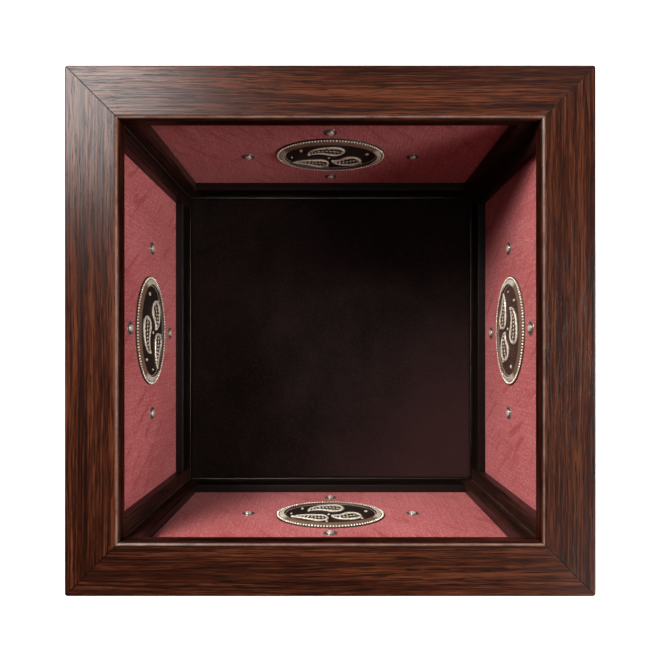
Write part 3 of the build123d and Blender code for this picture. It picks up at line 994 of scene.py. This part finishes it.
def makeMedallion(side):
    look = medallionLook
    name = "medallion_" + side
    size = sizeOf(name)
    longHalf, shortHalf = max(size.x, size.y) / 2 / mm, size.z / 2 / mm
    section, around = look["section"], look["around"]
    sign = -1 if side == "front" else 1  # the front one is upside down
    angles = np.linspace(0, 2 * math.pi, around, endpoint=False)
    cosines, sines = np.cos(angles), np.sin(angles)
    rows, marks = [], []
    for inset, height, bright in section:
        x, y = (longHalf - inset) * cosines, (shortHalf - inset) * sines
        rows.append(np.stack([x, y, np.full(around, height)], 1))
        marks.append(np.full(around, bright))
    start = section[-1][0]
    for k in range(1, look["fieldRings"]):
        s = 1 - k / look["fieldRings"]
        x, y = (longHalf - start) * s * cosines, (shortHalf - start) * s * sines
        height, bright = scrollRelief(x, y, sign)
        level = look["fieldLevel"] - look["fieldDish"] * (1 - s * s)
        rows.append(np.stack([x, y, level + height], 1))
        marks.append(bright)
    top = np.concatenate(rows)
    height, bright = scrollRelief(np.zeros(1), np.zeros(1), sign)
    level = look["fieldLevel"] - look["fieldDish"] + height[0]
    vertices = [Vector(p) * mm for p in top]
    vertices += [Vector((0, 0, level)) * mm, Vector((0, 0, look["behind"])) * mm]
    faces = ringFaces(len(rows) - 1, around)
    last, centre, under = (len(rows) - 1) * around, len(top), len(top) + 1
    for k in range(around):
        faces.append((last + k, last + (k + 1) % around, centre))
        faces.append(((k + 1) % around, k, under))
    # the right wall's field is painted light, paler than the others
    metal = metalMaterial(
        "medallionMetal_" + side, look["paintedLitField"] if side == "right" else look["field"])
    piece = newPiece("medallion_cast_" + side, vertices, faces, metal)
    storeValues(piece, "raised", list(np.concatenate(marks)) + [bright[0], 0.0])
    # the border's two ends are left out of the bronze, a painted highlight
    sides = 1 - np.clip((np.abs(cosines) - look["highlightEnd"]) / look["highlightFade"], 0, 1)
    low, high = look["border"]
    inBorder = [sides * (low < inset < high) for inset, height, bright in section]
    rest = np.zeros(len(vertices) - len(section) * around)
    storeValues(piece, "border", np.concatenate(inBorder + [rest]))
    setInputs(piece.modifiers.new("beads", "NODES"), milgrainBeads, {
        "Half Width": (longHalf - look["beadInset"]) * mm,
        "Half Height": (shortHalf - look["beadInset"]) * mm,
        "Level": look["beadLevel"] * mm, "Beads": look["beads"],
        "Bead Radius": look["beadRadius"] * mm, "Metal": metal})
    makeSolid(piece, wallPlace(side, name))
    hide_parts(name)
    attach(piece, "root")


for side in sideNames:
    makeMedallion(side)
print("medallions cast")


# Dome nails

nailLook = dict(
    around=56, domeRadius=2.7, rise=1.9,  # in mm
    domeFoot=0.30, domeRings=14, footShine=0.15,
    flange=0.32, shank=0.8, length=10.0, point=2.5,
    turnSpread=3.0, turnSeed=5,
    # ring is painted shade round the dome's foot and on the flange
    nickel=rgb(250, 236, 224), tarnish=rgb(186, 160, 142), ring=rgb(46, 24, 20),
    blotch=(500, 4.0, 0.6), blotchRange=(0.45, 0.68),
    roughness=(0.4, 0.65, 0.2, 0.3), metallic=0.5,
    dents=(700, 1.0), bump=(0.35, 0.15 * mm),
)


def nailMaterial():
    look = nailLook
    material, shader, place = newMaterial("antiqueNickel")
    blotch = noiseOf(place, *look["blotch"])
    tarnish = ranged(blotch, *look["blotchRange"], smooth=True)
    metal = mixed(tarnish, look["nickel"], look["tarnish"])
    # the dark ring colour is painted shade at the dome's foot and on the flange
    feed(shader, {
        "Base Color": mixed(painted(shader, "raised"), look["ring"], metal),
        "Roughness": ranged(blotch, *look["roughness"]), "Metallic": look["metallic"],
        "Normal": bumped(look["bump"], noiseOf(place, *look["dents"]))})
    return material


def makeNailTree():
    # one nail on each point that comes in
    given, result = newGroup("nailPlacer", {
        "Geometry": "Geometry", "Nail": "Object", "Turn Spread": "Float", "Metal": "Material",
    }, {"Geometry": "Geometry"}, "GeometryNodeTree")
    info = put("GeometryNodeObjectInfo", {"Object": given["Nail"]})
    spin = put("FunctionNodeRandomValue", {
        3: given["Turn Spread"], "Seed": nailLook["turnSeed"]}, data_type="FLOAT")
    turn = put("ShaderNodeCombineXYZ", {"Z": spin.outputs[1]})
    rows = put("GeometryNodeInstanceOnPoints", {
        "Points": given["Geometry"], "Instance": info.outputs["Geometry"],
        "Rotation": turn.outputs[0]})
    real = put("GeometryNodeRealizeInstances", {"Geometry": rows.outputs[0]})
    finished = put("GeometryNodeSetMaterial", {
        "Geometry": real.outputs[0], "Material": given["Metal"]})
    return closed(result, {"Geometry": finished.outputs[0]})


nailPlacer = makeNailTree()


def nailSection():
    # radius, height and brightness, in mm from the top of the dome to the point; the dark foot and
    # flange are painted shade
    look = nailLook
    head, dome, shank, rings = nailRadius / mm, look["domeRadius"], look["shank"], look["domeRings"]
    flange, foot, length = look["flange"], look["domeFoot"], look["length"]
    section = [(0.0, look["rise"], 1.0)]
    for k in range(1, rings + 1):
        a = math.pi / 2 * k / rings
        shine = max(look["footShine"], 1.0 - 1.1 * (k / rings) ** 2.5)
        section.append((dome * math.sin(a), foot + (look["rise"] - foot) * math.cos(a), shine))
    return section + [
        (dome + 0.12, 0.24, 0.0), (dome + 0.4, 0.40, 0.15), (head - 0.6, 0.46, 0.2),
        (head - 0.12, flange + 0.06, 0.35), (head, flange - 0.08, 0.3), (head, 0.0, 0.0),
        (head - 0.5, -0.04, 0.0), (shank + 0.1, -0.04, 0.0), (shank, -0.3, 0.4),
        (shank, look["point"] - length, 0.4), (0.0, -length, 0.4)]


def makeOneNail(metal):
    section, around = nailSection(), nailLook["around"]
    vertices, values = [], []
    for r, h, mark in section:
        for k in range(around if r else 1):
            a = 2 * math.pi * k / around
            vertices.append(Vector((r * math.cos(a), r * math.sin(a), h)) * mm)
            values.append(mark)
    faces = [(0, 1 + k, 1 + (k + 1) % around) for k in range(around)]
    rings = len(section) - 3
    for a, b, c, d in ringFaces(rings, around):
        faces.append((a + 1, d + 1, c + 1, b + 1))
    last, tip = 1 + rings * around, len(vertices) - 1
    faces += [(last + (k + 1) % around, last + k, tip) for k in range(around)]
    nail = newPiece("one_nail", vertices, faces, metal)
    storeValues(nail, "raised", values)
    return nail


def makeNails():
    metal = nailMaterial()
    pattern = makeOneNail(metal)
    for side in sideNames:
        name = "dome_nails_" + side
        piece = newPiece("nail_set_" + side, nailPoints(side), [], metal, smooth=False)
        setInputs(piece.modifiers.new("nails", "NODES"), nailPlacer, {
            "Nail": pattern, "Turn Spread": nailLook["turnSpread"], "Metal": metal})
        makeSolid(piece, wallPlace(side, name))
        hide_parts(name)
        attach(piece, "root")
    bpy.data.objects.remove(pattern)


makeNails()
print("nails driven")


# Floor, lights and camera

warm = (1.0, 0.97, 0.95)
studio = dict(
    floor=rgb(250, 249, 247), floorShade=rgb(246, 245, 243), floorClouds=(9, 3.0),
    floorRoughness=0.9, floorGloss=0.1, floorGlow=0.7,
    floorReach=3.0,
    floorDrop=-0.3 * mm,  # clear of the felt's own face
    world=0.065, worldTint=(1.0, 0.98, 0.97, 1.0),
    aimAbove=0.11,  # the lamps look at a place this far above the velvet
    # place, size, power, colour
    lights=dict(
        cornerKey=((-0.53, 0.56, 0.86), 0.36, 16.8, warm),
        lowKey=((-0.687, 0.687, 0.636), 0.40, 7.07, warm),
        overhead=((0.10, 0.12, 1.25), 0.36, 2.43, (1.0, 0.98, 0.97)),
        rightFill=((0.901, 0.0, 0.751), 0.40, 8.4, warm),
        frontFill=((0.738, -0.517, 0.751), 0.40, 3.54, warm),
        backFill=((0.45, 0.75, 0.797), 0.40, 1.1, warm)),
    cameraSide=0.73 * mm, cameraFront=-12.77 * mm, cameraAbove=281.25 * mm,
    lens=27.149, sensor=36, shiftUp=0.033, nearest=0.01,
)


def makeFloor():
    material, shader, place = newMaterial("paleFloor")
    clouds = noiseOf(place, *studio["floorClouds"])
    feed(shader, {
        "Base Color": mixed(clouds, studio["floor"], studio["floorShade"]),
        "Roughness": studio["floorRoughness"], "Specular IOR Level": studio["floorGloss"],
        "Emission Strength": studio["floorGlow"]})
    reach, drop = studio["floorReach"], studio["floorDrop"]
    corners = [(x * reach, y * reach, drop) for x, y in ((-1, -1), (1, -1), (1, 1), (-1, 1))]
    newPiece("studio_floor", corners, [(0, 1, 2, 3)], material)


def makeLights(scene):
    world = bpy.data.worlds.new("softRoom")
    world.use_nodes = True
    background = next(n for n in world.node_tree.nodes if n.type == "BACKGROUND")
    feed(background, {"Color": studio["worldTint"], "Strength": studio["world"]})
    scene.world = world
    aim = middleOf("velvet_pad") + upright * studio["aimAbove"]
    for name, (spot, size, power, colour) in studio["lights"].items():
        lamp = bpy.data.lights.new(name, "AREA")
        lamp.shape = "SQUARE"
        lamp.size = size
        lamp.energy = power
        lamp.color = colour
        holder = placed(name, lamp)
        holder.location = spot
        holder.rotation_euler = (aim - Vector(spot)).to_track_quat("-Z", "Y").to_euler()


def makeCamera(scene):
    camera = bpy.data.cameras.new("aboveThePlate")
    camera.lens = studio["lens"]
    camera.sensor_width = studio["sensor"]
    camera.shift_y = studio["shiftUp"]
    camera.clip_start = studio["nearest"]
    stand = placed("aboveThePlate", camera)
    stand.location = (studio["cameraSide"], studio["cameraFront"], rimTop + studio["cameraAbove"])
    scene.camera = stand
    scene.view_settings.view_transform = "Standard"


makeFloor()
makeLights(bpy.context.scene)
makeCamera(bpy.context.scene)
print("studio lit")
